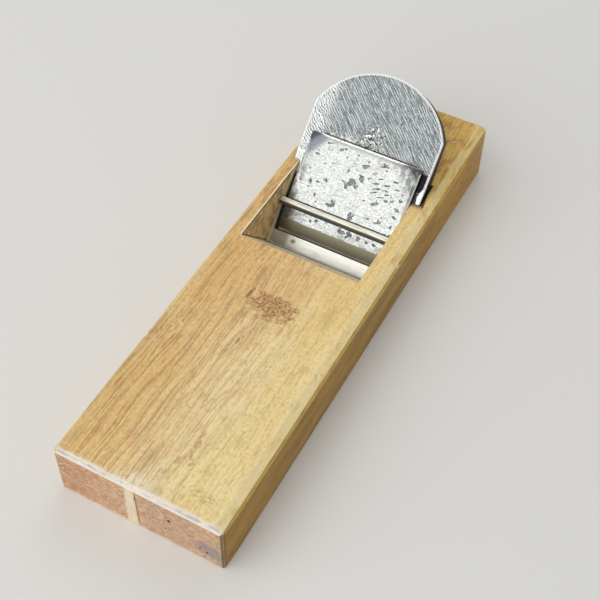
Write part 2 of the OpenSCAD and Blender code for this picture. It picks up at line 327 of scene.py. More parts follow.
@dataclass(frozen=True)
class Strokes:
    """Parallel tool marks at an even distance, each of which wavers a little."""

    spacing_mm: float
    width_mm: float
    turn_deg: float
    waver_mm: float = 1.6
    waver_size_mm: float = 7.0
    space: Space = Space.FACE

    def factor(self, canvas: Canvas) -> Any:
        """Measures how far each point is from the middle of the nearest mark.

        Args:
            canvas: Canvas of the finish.

        Returns:
            1 in a mark and 0 between two.
        """
        turn = math.radians(self.turn_deg)
        place = canvas.place(self.space)
        across = add(canvas.tree, "ShaderNodeVectorMath", {
            0: place, 1: (-math.sin(turn), math.cos(turn), 0.0)}, operation="DOT_PRODUCT")
        wild = add(canvas.tree, "ShaderNodeTexNoise", {
            "Vector": place, "Scale": 1 / self.waver_size_mm}).outputs["Fac"]
        bent = add(canvas.tree, "ShaderNodeMath", {
            0: wild, 1: self.waver_mm, 2: across.outputs["Value"]}, operation="MULTIPLY_ADD")
        off = add(canvas.tree, "ShaderNodeMath", {
            0: bent.outputs[0], 1: self.spacing_mm / 2}, operation="PINGPONG").outputs[0]
        return canvas.ramp(off, 0.75 * self.width_mm, 0.25 * self.width_mm)


@dataclass(frozen=True)
class Arris:
    """A narrow strip along every edge, where handling wears a surface or where a highlight is painted.
    """

    radius_mm: float
    full: float = 0.80

    def factor(self, canvas: Canvas) -> Any:
        """Compares the true surface with one whose edges are rounded.

        Args:
            canvas: Canvas of the finish.

        Returns:
            1 on an edge and 0 away from it.
        """
        round_normal = add(canvas.tree, "ShaderNodeBevel", {"Radius": self.radius_mm * MM}, samples=6)
        true_normal = add(canvas.tree, "ShaderNodeNewGeometry").outputs["True Normal"]
        dot = add(canvas.tree, "ShaderNodeVectorMath", {
            0: round_normal.outputs[0], 1: true_normal}, operation="DOT_PRODUCT")
        return canvas.ramp(dot.outputs["Value"], 0.99, self.full)


@dataclass(frozen=True)
class Tint:
    """A colour laid over the finish where all its masks show."""

    colour: str
    strength: float
    masks: tuple[Mask, ...]


@dataclass(frozen=True)
class Relief:
    """Fine height of a finish in millimetres, raised where its masks show."""

    height_mm: float
    masks: tuple[Mask, ...]


@dataclass(frozen=True)
class Sheen:
    """A change of roughness where its masks show."""

    change: float
    masks: tuple[Mask, ...]


@dataclass(frozen=True)
class Finish:
    """One real material: its base colour, its gloss and the layers that make up its surface."""

    name: str
    colour: str
    roughness: float
    metallic: float = 0.0
    tints: tuple[Tint, ...] = ()
    reliefs: tuple[Relief, ...] = ()
    sheens: tuple[Sheen, ...] = ()
    crusts: tuple[tuple[Mask, ...], ...] = ()
    gloss: float = 0.5
    round_mm: float = 0.0

    def product(self, canvas: Canvas, masks: tuple[Mask, ...], gain: float) -> Any:
        """Multiplies masks together.

        Args:
            canvas: Canvas of the finish.
            masks: Masks that all have to show.
            gain: Number that the product is scaled by.

        Returns:
            The scaled product's socket.
        """
        value: Any = gain
        for mask in masks:
            value = add(canvas.tree, "ShaderNodeMath", {0: mask.factor(canvas), 1: value},
                        operation="MULTIPLY").outputs[0]
        return value

    def material(self) -> bpy.types.Material:
        """Builds the node material.

        Returns:
            A material named for the finish.
        """
        made = bpy.data.materials.new(self.name)
        made.use_nodes = True
        tree = made.node_tree
        canvas = Canvas(tree)
        shader = tree.nodes["Principled BSDF"]
        colour: Any = linear(self.colour)
        for tint in self.tints:
            colour = add(tree, "ShaderNodeMix", {
                0: self.product(canvas, tint.masks, tint.strength), 6: colour,
                7: linear(tint.colour),
            }, data_type="RGBA").outputs[2]
        rough: Any = self.roughness
        for sheen in self.sheens:
            rough = add(tree, "ShaderNodeMath", {
                0: self.product(canvas, sheen.masks, sheen.change), 1: rough,
            }, operation="ADD", use_clamp=True).outputs[0]
        metallic: Any = self.metallic
        for masks in self.crusts:
            bare = add(tree, "ShaderNodeMath", {
                0: 1.0, 1: self.product(canvas, masks, 1.0)}, operation="SUBTRACT").outputs[0]
            metallic = add(tree, "ShaderNodeMath", {
                0: bare, 1: metallic}, operation="MULTIPLY").outputs[0]
        height: Any = 0.0
        for relief in self.reliefs:
            height = add(tree, "ShaderNodeMath", {
                0: self.product(canvas, relief.masks, relief.height_mm * MM), 1: height,
            }, operation="ADD").outputs[0]
        normal: Any = None
        if self.round_mm:
            normal = add(tree, "ShaderNodeBevel", {"Radius": self.round_mm * MM}).outputs[0]
        if isinstance(height, bpy.types.NodeSocket):
            bump = add(tree, "ShaderNodeBump", {"Height": height, "Distance": 1.0})
            if normal:
                tree.links.new(normal, bump.inputs["Normal"])
            normal = bump.outputs[0]
        wanted = {
            "Metallic": metallic, "Specular IOR Level": self.gloss,
            "Base Color": colour, "Roughness": rough, "Normal": normal}
        for name, value in wanted.items():
            if isinstance(value, bpy.types.NodeSocket):
                tree.links.new(value, shader.inputs[name])
            elif value is not None:
                shader.inputs[name].default_value = value
        return made


ON_TOP = Facing(UP)
ON_FRONT_END = Facing(FRONT)
ON_RIGHT_SIDE = (Facing(RIGHT), Past(RIGHT, 36.0, 38.5))
FRONT_WALL = (Facing((0.0, 0.73, 0.69), 0.96, 0.99), Past(FRONT, -60.0, -50.0))
LEFT_CHEEK = (Facing(RIGHT), Past(LEFT, 30.0, 33.0))
FRONT_BEVEL = Facing((0.0, -1.0, 1.0), 0.86, 0.95)
RIGHT_PART = Past(RIGHT, 2.0, 26.0)
LEFT_PART = Past(LEFT, -12.0, 22.0)
GROWTH_RINGS = Rings(spacing_mm=2.5, fade=0.45)
# pores of the early wood, dark lines half a millimetre wide and up to 60 mm long
PORE_LINES = Pattern((0.85, 60.0, 0.85), 0.51, 0.60, detail=1.0, space=Space.GRAIN)
SHORT_PORES = Pattern(
    (0.6, 9.0, 0.6), 0.56, 0.68, detail=1.0, origin_mm=(5.0, 0.0, 9.0), space=Space.GRAIN)
# strip of the left cheek just above the blade's face, its pale colour brightened as painted light
LIT_LEFT_CHEEK_STRIP = (*LEFT_CHEEK, Past(DOWN, -5.4, -4.8, Space.FACE))

# Japanese white oak, hand-planed and worn: honey-tan, with thin dark lines of pores along the
# grain, olive where hands have oiled the right side, pinkish brown on the open end grain.
WHITE_OAK = Finish(
    name="white_oak_hand_planed_and_worn",
    colour="#F5DFA8",
    roughness=0.55,
    gloss=0.3,
    round_mm=0.5,
    tints=(
        # rings, and broad bands of paler and darker growth along the block
        Tint("#D2AA64", 0.42, (GROWTH_RINGS,)),
        Tint("#D3A55A", 0.40, (Pattern((13.0, 150.0, 13.0), 0.45, 0.68, space=Space.GRAIN),)),
        Tint("#F6E8C0", 0.45, (
            Pattern((16.0, 90.0, 16.0), 0.50, 0.68, origin_mm=(37, 5, 11), space=Space.GRAIN),)),
        # the left part is more orange, and so is the wood ahead of the throat
        Tint("#DDA850", 0.44, (LEFT_PART,)),
        Tint("#DDA048", 0.36, (Past(REAR, -62.0, 0.0), ON_TOP)),
        Tint("#CC922E", 0.74, (Past(REAR, 56.0, 84.0), ON_TOP)),
        Tint("#D9A070", 0.30, (
            Pattern((5.0, 8.0, 5.0), 0.52, 0.64, detail=5.0, origin_mm=(8, 3, 1)), ON_TOP)),
        # dark lines of pores, close and strong on the left, fading out on the right
        Tint("#946222", 0.26, (PORE_LINES,)),
        Tint("#8C5318", 0.26, (PORE_LINES, LEFT_PART)),
        Tint("#96693A", 0.42, (SHORT_PORES, GROWTH_RINGS)),
        Tint("#F6DB88", 0.44, (RIGHT_PART, ON_TOP)),
        # fine mottling that wear leaves, pale and reddish
        Tint("#FFF0C4", 0.26, (Pattern((0.8, 1.8, 0.8), 0.42, 0.72, detail=3.0),)),
        Tint("#B98350", 0.38, (
            Pattern((1.2, 2.0, 1.2), 0.46, 0.74, detail=5.0, origin_mm=(3, 9, 5)),)),
        # grey soil rubbed into the front of the top, pale scuffs and pink knocks on the right
        Tint("#9C8C64", 0.24, (Pattern((8.0, 14.0, 8.0), 0.58, 0.70, detail=5.0), ON_TOP)),
        Tint("#FBF1C8", 0.34, (
            Pattern((0.9, 1.6, 0.9), 0.54, 0.74, detail=4.0, origin_mm=(1, 5, 2)), RIGHT_PART,
            ON_TOP)),
        Tint("#BF7C5A", 0.40, (
            Pattern((4.0, 7.0, 4.0), 0.52, 0.66, detail=5.0), Past(REAR, 10.0, 40.0), ON_TOP)),
        Tint("#E6BC38", 0.44, (Past(REAR, 56.0, 84.0), ON_TOP)),
        Tint("#B87640", 0.50, (
            Past(REAR, 56.0, 84.0), ON_TOP,
            Pattern((3.5, 8.0, 3.5), 0.50, 0.62, detail=5.0, origin_mm=(4, 2, 6)))),
        Tint("#926A30", 0.38, (
            Past(REAR, 56.0, 84.0), ON_TOP,
            Pattern((1.2, 16.0, 1.2), 0.50, 0.60, detail=3.0, origin_mm=(2, 7, 1),
                    space=Space.GRAIN))),
        # worn shoulder along the right edge of the top
        Tint("#F6E6B4", 0.50, (
            ON_TOP, Past(RIGHT, 34.0, 36.5), Pattern((3.0, 14.0, 3.0), 0.30, 0.55, detail=3.0))),
        # right side, oiled by the hand
        Tint("#B0821A", 0.92, ON_RIGHT_SIDE),
        Tint("#7E5C26", 0.45, (Pattern((20.0, 50.0, 8.0), 0.45, 0.65), *ON_RIGHT_SIDE)),
        Tint("#D6B04C", 0.68, (Past(UP, 25.0, 27.0), *ON_RIGHT_SIDE)),
        Tint("#D8A030", 0.40, (*ON_RIGHT_SIDE, Past(REAR, 50.0, 90.0))),
        Tint("#A88A66", 0.38, (
            *ON_RIGHT_SIDE, Pattern((2.0, 3.4, 1.8), 0.50, 0.64, detail=5.0))),
        Tint("#5F4826", 0.34, (
            *ON_RIGHT_SIDE,
            Pattern((1.6, 6.0, 1.2), 0.53, 0.65, detail=4.0, origin_mm=(6, 1, 3)))),
        Tint("#5A3E20", 0.65, (*ON_RIGHT_SIDE, Past(FRONT, 131.5, 134.0))),
        Tint("#6B4D22", 0.35, (
            Pattern((3.0, 26.0, 1.2), 0.54, 0.66, detail=3.0, space=Space.GRAIN),
            *ON_RIGHT_SIDE)),
        # end grain, redder to the left, streaked along the rings, with open pores and dirt
        Tint("#DDB692", 0.90, (ON_FRONT_END,)),
        Tint("#D2A47A", 0.70, (Facing(REAR),)),
        Tint("#B97B45", 0.45, (ON_FRONT_END, Past(LEFT, 10.0, 42.0))),
        Tint("#A8744C", 0.50, (ON_FRONT_END, Rings(spacing_mm=1.5, fade=0.8))),
        Tint("#9A5E3E", 0.50, (
            ON_FRONT_END, Pattern((1.7, 1.7, 1.0), 0.46, 0.64, detail=5.0))),
        Tint("#F0DCC0", 0.65, (
            ON_FRONT_END, Pattern((2.2, 2.2, 0.8), 0.56, 0.66, detail=4.0, origin_mm=(7, 2, 4)))),
        Tint("#7A4E36", 0.55, (
            ON_FRONT_END, Pattern((0.8, 0.8, 0.8), 0.60, 0.68, detail=2.0))),
        Tint("#88868A", 0.65, (
            ON_FRONT_END, Spot((34.0, -135.0, 10.0), (6.5, 4.0, 5.0), 0.4, ragged=1.0))),
        Tint("#94898C", 0.45, (
            ON_FRONT_END, Pattern((3.4, 3.4, 2.2), 0.47, 0.62, detail=5.0, origin_mm=(2, 2, 2)),
            Past(RIGHT, 0.0, 8.0))),
        Tint("#EBDABB", 0.80, (
            ON_FRONT_END, Spot((-3.8, -135.0, 6.0), (2.8, 3.0, 32.0), 0.16, ragged=0.45,
                               ragged_mm=3.0))),
        Tint("#8A5440", 0.75, (
            ON_FRONT_END, Spot((-0.9, -135.0, 14.0), (0.5, 3.0, 15.0), 0.40, ragged=0.25))),
        Tint("#F2E6CE", 0.50, (
            ON_FRONT_END, Spot((-4.0, -135.0, 12.0), (1.8, 3.0, 22.0), 0.50, ragged=0.45),
            Pattern((1.6, 1.6, 4.0), 0.40, 0.58, detail=3.0))),
        Tint("#EBDCC0", 0.65, (
            ON_FRONT_END, Past(DOWN, -2.6, -0.8), Pattern((5.0, 5.0, 2.0), 0.34, 0.56))),
        Tint("#6E4C28", 0.75, (Facing((0.7, -0.7, 0.0), 0.93, 0.97),)),
        # front bevel worn pale, with a grey line of dirt, and the pale wear running onto the top
        Tint("#EBE2D8", 0.88, (FRONT_BEVEL, Past(FRONT, 132.2, 133.0))),
        Tint("#A2A5AF", 0.75, (
            FRONT_BEVEL, Past(FRONT, 133.1, 133.7), Past(REAR, -134.6, -134.0),
            Pattern((6.0, 2.0, 2.0), 0.36, 0.60, detail=4.0, origin_mm=(9, 3, 1)))),
        Tint("#F4EAD2", 0.75, (
            ON_TOP, Spot((-4.0, -132.5, 30.0), (7.0, 4.0, 4.0), 0.6, ragged=1.0),
            Pattern((1.4, 3.2, 1.4), 0.38, 0.58, detail=3.0))),
        Tint("#EFE5D2", 0.70, (
            ON_TOP, Past(FRONT, 131.4, 132.8), Pattern((5.0, 2.0, 2.0), 0.42, 0.58, detail=3.0))),
        Tint("#F2E0A8", 0.75, (Arris(0.9, 0.93), Pattern((3.0, 10.0, 3.0), 0.32, 0.52, detail=3.0))),
        # inside the throat: soiled front wall, a pale strip on the left cheek, darker bed
        Tint("#F2E6C4", 0.80, FRONT_WALL),
        Tint("#B0905A", 0.60, (
            *FRONT_WALL, Pattern((1.0, 3.4, 3.4), 0.48, 0.62, detail=4.0))),
        Tint("#C9AE7C", 0.50, (
            *FRONT_WALL, Pattern((9.0, 14.0, 14.0), 0.46, 0.60, detail=3.0))),
        # painted shade of the mouth towards the foot of the front wall
        Tint("#1E180F", 0.97, (*FRONT_WALL, Past(DOWN, -9.0, -7.0))),
        Tint("#FBD89C", 0.84, LEFT_CHEEK),
        Tint("#7E5E34", 0.40, (
            *LEFT_CHEEK, Pattern((3.0, 4.0, 10.0), 0.46, 0.62, detail=3.0))),
        Tint("#7A5632", 0.42, (
            *LEFT_CHEEK, Pattern((3.0, 3.4, 3.0), 0.47, 0.60, detail=5.0, origin_mm=(5, 2, 8)))),
        Tint("#B9A468", 0.45, (
            *LEFT_CHEEK, Pattern((3.0, 2.2, 2.6), 0.52, 0.64, detail=4.0, origin_mm=(1, 6, 3)))),
        Tint("#7A3226", 0.62, (
            *LEFT_CHEEK, Spot((-33.6, 44.4, 20.0), (3.0, 2.8, 2.0), 0.4, ragged=0.6))),
        Tint("#7A3226", 0.60, (
            *LEFT_CHEEK, Spot((-33.6, 37.0, 11.0), (3.0, 1.3, 2.6), 0.4, ragged=0.6))),
        Tint("#42351A", 0.72, (*LEFT_CHEEK, Past(UP, 28.4, 29.2))),
        Tint("#2E210F", 0.88, (*LEFT_CHEEK, Past((0.0, -0.746, -0.666), -25.4, -24.9))),
        # painted light on the pale strip just above the blade's face
        Tint("#FFF0C4", 0.95, LIT_LEFT_CHEEK_STRIP),
        Tint("#FFF6CC", 0.85, (
            ON_TOP, Past(LEFT, 33.2, 33.5), Past(RIGHT, -34.5, -34.1), Past(REAR, 5.0, 7.0),
            Past(FRONT, -66.0, -62.0))),
        Tint("#1F170D", 0.94, (Facing((0.0, -0.65, 0.76), 0.95, 0.99), Past(REAR, 34.0, 38.0))),
        # painted shade in the bevel at the top of the bed, behind the blade
        Tint("#241A0D", 0.92, (Facing((0.0, -0.42, 0.91), 0.95, 0.99), Past(REAR, 60.0, 64.0))),
        # painted shadow of the blade's head on the top, which ends in line with its right edge
        Tint("#33240F", 0.92, (
            ON_TOP, Past((-0.984, -0.177, 0.0), -46.4, -45.8), Past(REAR, 62.0, 66.0),
            Past(FRONT, -120.0, -108.0), Past(RIGHT, 6.0, 20.0))),
        # old brown stain in the middle of the front half, and smaller ones around it
        Tint("#7B4A26", 0.72, (
            Spot((1.0, -25.4, 30.0), (10.0, 6.6, 9.0), 0.15, ragged=1.1, ragged_mm=3.2),
            Pattern((1.2, 1.2, 1.2), 0.44, 0.58, detail=4.0))),
        Tint("#A8683C", 0.30, (
            Spot((1.0, -25.4, 30.0), (11.0, 7.6, 9.0), 0.3, ragged=1.1, ragged_mm=3.2),)),
        Tint("#7C5330", 0.70, (
            Spot((-11.6, -23.5, 30.0), (0.9, 3.6, 4.0), 0.3, ragged=0.8, turn_deg=-8.0),)),
        Tint("#94642F", 0.60, (
            Spot((-3.8, -53.0, 30.0), (0.9, 14.0, 6.0), 0.3, turn_deg=-17.0),
            Pattern((1.4, 2.4, 1.4), 0.50, 0.58))),
        # rubs with dark dirt near the front end
        Tint("#A3613F", 0.55, (
            Spot((11.0, -106.0, 30.0), (1.6, 8.0, 4.0), 0.4, ragged=1.2, turn_deg=8.0),
            Pattern((1.8, 4.0, 1.8), 0.40, 0.60, detail=4.0))),
        Tint("#A66B49", 0.50, (
            Spot((5.5, -119.0, 30.0), (1.4, 7.0, 4.0), 0.4, ragged=1.2, turn_deg=-20.0),
            Pattern((1.8, 4.0, 1.8), 0.40, 0.60, detail=4.0, origin_mm=(3, 1, 2)))),
        Tint("#7F7A5E", 0.50, (
            Spot((25.5, -124.0, 30.0), (6.0, 2.2, 6.0), 0.8, turn_deg=4.0),
            Pattern((3.4, 1.0, 2.0), 0.44, 0.60, detail=4.0))),
        # scrape with torn fibres at the left edge
        Tint("#A77B54", 0.55, (
            Spot((-36.5, -61.5, 30.0), (1.3, 8.0, 4.0), 0.4, ragged=1.0, turn_deg=-35.0),
            Pattern((1.2, 1.8, 1.2), 0.42, 0.60, detail=3.0))),
    ),
    reliefs=(
        Relief(-0.02, (PORE_LINES,)),
        Relief(0.035, (Pattern((3.0, 12.0, 3.0), 0.35, 0.65, detail=4.0),)),
        Relief(-0.10, (ON_FRONT_END, Pattern((2.6, 2.6, 0.9), 0.52, 0.62, detail=4.0))),
    ),
    sheens=(Sheen(-0.10, (Pattern((18.0, 60.0, 18.0), 0.45, 0.65),)),),
)

# Oak fibres crushed by a knock: paler and duller than the planed face around them.
CRUSHED_OAK = Finish(
    name="white_oak_crushed_fibres",
    colour="#F0E1BA",
    roughness=0.75,
    tints=(Tint("#B8955F", 0.55, (Pattern((0.9, 0.9, 0.9), 0.50, 0.64),)),),
)

# Dark dirt packed into cracks and old holes of the oak.
PACKED_DIRT = Finish(
    name="dirt_packed_in_oak",
    colour="#6B5140",
    roughness=0.9,
    tints=(Tint("#33261B", 0.6, (Pattern((0.7, 0.7, 0.7), 0.45, 0.6),)),),
)

FILE_TURN = -43.0
ON_HEAD_FACE = Facing(OUT_OF_FACE, 0.55, 0.75)
OFF_FACE = Facing(OUT_OF_FACE, 0.97, 0.88)
ON_HEAD_RIM = (Facing(OUT_OF_FACE, 0.40, 0.60), OFF_FACE)
HEAD_SIDES = Facing(OUT_OF_FACE, 0.35, 0.15)
# file teeth leave strokes 1.3 mm apart, drawn a little coarser than real ones so that they show
FILE_STROKES = (
    Strokes(spacing_mm=1.15, width_mm=0.52, turn_deg=FILE_TURN),
    Pattern((7.0, 1.0, 3.0), 0.40, 0.56, detail=1.0, turn_deg=FILE_TURN, space=Space.FACE))
MARGIN_STROKES = (
    Past(LEFT, 24.0, 31.0),
    Strokes(spacing_mm=1.30, width_mm=0.66, turn_deg=FILE_TURN, waver_mm=3.6, waver_size_mm=4.0))
DARK_STROKES = Pattern(
    (6.0, 0.5, 4.0), 0.52, 0.62, detail=1.0, turn_deg=FILE_TURN, space=Space.FACE,
    origin_mm=(9.0, 2.0, 3.0))
FLAKED_PATCH = Spot((-2.0, 64.6, 0.0), (6.0, 7.0, 6.0), 0.4, ragged=1.2, space=Space.FACE)
# white patch at the lower end of the right rim, a painted highlight
LIT_RIM_END = Spot((31.9, 46.8, 0.0), (1.6, 4.4, 3.0), 0.15, ragged=0.25, space=Space.FACE)

# Soft iron of the blade's head, left from the file: grey with slanting bright file marks, a rim painted
# white as a highlight, and black forge scale on the sides and the back.
FILED_IRON = Finish(
    name="soft_iron_filed_and_rubbed",
    colour="#787E80",
    roughness=0.32,
    metallic=1.0,
    round_mm=0.25,
    tints=(
        Tint("#696F71", 0.50, (Pattern((24.0, 24.0, 12.0), 0.42, 0.66, space=Space.FACE),)),
        Tint("#4E5453", 0.70, (DARK_STROKES,)),
        Tint("#BEC3C0", 0.85, FILE_STROKES),
        Tint("#C4C8C2", 0.30, (Pattern((1.0, 1.0, 1.0), 0.52, 0.62, space=Space.FACE),)),
        # painted glints among the file marks
        Tint("#FFFFFF", 0.90, (Pattern((1.2, 0.9, 1.0), 0.70, 0.75, space=Space.FACE),)),
        # crackled patch above the chip breaker, where the scale has flaked
        Tint("#F0F2EA", 0.85, (
            FLAKED_PATCH, Pattern((1.5, 1.3, 1.4), 0.47, 0.56, detail=3.0, space=Space.FACE))),
        Tint("#3D3C36", 0.85, (
            FLAKED_PATCH, Pattern((1.5, 1.3, 1.4), 0.53, 0.59, detail=3.0, origin_mm=(4, 4, 4),
                                  space=Space.FACE))),
        Tint("#E4E5D6", 0.62, (
            Past(RIGHT, -26.0, -22.0), Past(LEFT, -8.0, -2.0),
            Past(REAR, 60.6, 61.2, Space.FACE), Past(FRONT, -65.0, -62.0, Space.FACE),
            Pattern((1.3, 1.6, 1.4), 0.48, 0.58, detail=3.0, space=Space.FACE))),
        # margins beside the chip breaker, rubbed bright, and a painted shadow line above its end
        Tint("#E6E8E4", 0.72, MARGIN_STROKES),
        Tint("#3B2E28", 0.80, (
            Past(RIGHT, -27.0, -25.0), Past(LEFT, -26.0, -23.0),
            Past(REAR, 60.0, 60.2, Space.FACE), Past(FRONT, -61.3, -60.9, Space.FACE))),
        # painted shadow and reflection of the chip breaker's right side on the right margin
        Tint("#1E1B18", 0.98, (
            Past(RIGHT, 28.0, 28.4), Past(LEFT, -31.7, -31.3),
            Past(FRONT, -59.6, -58.0, Space.FACE))),
        # painted highlight at the lower end of the right rim
        Tint("#FFFFFF", 0.95, (LIT_RIM_END,)),
        # painted highlights along the edges of the face and on the rim round the head
        Tint("#FFFFFF", 1.0, (ON_HEAD_FACE, Arris(0.9, 0.95))),
        Tint("#FFFFFF", 1.0, ON_HEAD_RIM),
        # black forge scale on the sides and the back
        Tint("#24211F", 0.94, (HEAD_SIDES,)),
        Tint("#4A3B31", 0.50, (HEAD_SIDES, Pattern((7.0, 7.0, 7.0), 0.50, 0.64, detail=4.0))),
    ),
    reliefs=(
        Relief(0.06, FILE_STROKES),
        Relief(-0.05, (DARK_STROKES,)),
        Relief(0.22, (
            FLAKED_PATCH, Pattern((1.5, 1.3, 1.4), 0.40, 0.62, detail=3.0, space=Space.FACE))),
        Relief(0.20, (Pattern((9.0, 9.0, 9.0), 0.35, 0.65, detail=3.0), HEAD_SIDES)),
    ),
    sheens=(Sheen(0.35, (OFF_FACE,)),),
    crusts=((OFF_FACE,),),
)

# High-carbon steel lapped on flat stones: nearly a mirror, with faint straight lapping lines.
LAPPED_STEEL = Finish(
    name="hard_steel_lapped_on_stones",
    colour="#FBFCF4",
    roughness=0.26,
    # partly non-metal with a near-white colour, so that the steel shows bright: a painted highlight
    metallic=0.60,
    tints=(
        Tint("#B9BEB4", 0.35, (Pattern((26.0, 0.8, 4.0), 0.50, 0.64, space=Space.FACE),)),
        Tint("#B4B29A", 0.30, (Pattern((9.0, 4.0, 4.0), 0.54, 0.66, detail=4.0,
                                       space=Space.FACE),)),
        # the left part of the strip greyer: painted reflection of the left cheek
        Tint("#AEAFA4", 0.74, (Past(LEFT, 23.8, 26.0), Past(DOWN, -12.0, -8.0))),
        Tint("#6C6A58", 0.80, (
            Spot((-21.5, 3.8, 0.0), (1.3, 1.0, 2.0), 0.4, ragged=0.8, space=Space.FACE),)),
        # painted shadow line along the chip breaker's edge
        Tint("#171410", 0.95, (
            Past(REAR, 6.5, 6.7, Space.FACE), Past(FRONT, -8.5, -8.0, Space.FACE))),
        # the left margin, grey with bright file marks
        Tint("#858B8C", 0.75, (Past(LEFT, 29.0, 30.0), Past(UP, 14.0, 16.0))),
        Tint("#EDEFEB", 0.72, (*MARGIN_STROKES, Past(UP, 14.0, 16.0))),
        # painted highlight along the edges of the face
        Tint("#FFFFFF", 0.95, (ON_HEAD_FACE, Arris(0.9, 0.95), Past(UP, 16.0, 18.0))),
        # painted shadow and reflection of the chip breaker's right side on the right margin
        Tint("#1E1B18", 0.98, (
            Past(RIGHT, 28.0, 28.4), Past(LEFT, -31.5, -31.1),
            Past(REAR, 39.5, 40.0, Space.FACE))),
        # painted highlight at the lower end of the right rim
        Tint("#FFFFFF", 0.95, (LIT_RIM_END,)),
        # the left margin painted dark as shade beside the cheek, up to a painted highlight at its upper
        # end
        Tint("#241F17", 0.94, (
            Past(LEFT, 31.6, 32.0), Past(REAR, 7.0, 7.6, Space.FACE),
            Past(FRONT, -38.5, -36.5, Space.FACE))),
        Tint("#FFFFFF", 0.90, (
            Spot((-33.4, 41.0, 0.0), (1.4, 3.0, 3.0), 0.3, space=Space.FACE),)),
        # black forge scale on the sides
        Tint("#1E1B19", 0.92, (HEAD_SIDES, Past(UP, 8.0, 12.0))),
    ),
    crusts=((HEAD_SIDES, Past(UP, 8.0, 12.0)),),
    reliefs=(Relief(0.006, (Pattern((26.0, 0.8, 4.0), 0.3, 0.7, space=Space.FACE),)),),
)

ON_PLATE = Facing(OUT_OF_FACE, 0.96, 0.985)
PLATE_BEVEL = Facing((0.0, -0.919, 0.394), 0.95, 0.985)
LEFT_PLATE_BEVEL = Facing((-0.71, -0.48, 0.52), 0.93, 0.97)
RIGHT_PLATE_BEVEL = Facing((0.71, -0.48, 0.52), 0.93, 0.97)
PLATE_SIDES = (Facing(OUT_OF_FACE, 0.45, 0.25), Facing(FRONT, 0.6, 0.4))
RUST_SPECKS = Pattern((1.0, 0.8, 0.9), 0.60, 0.68, origin_mm=(4, 8, 1), space=Space.FACE)

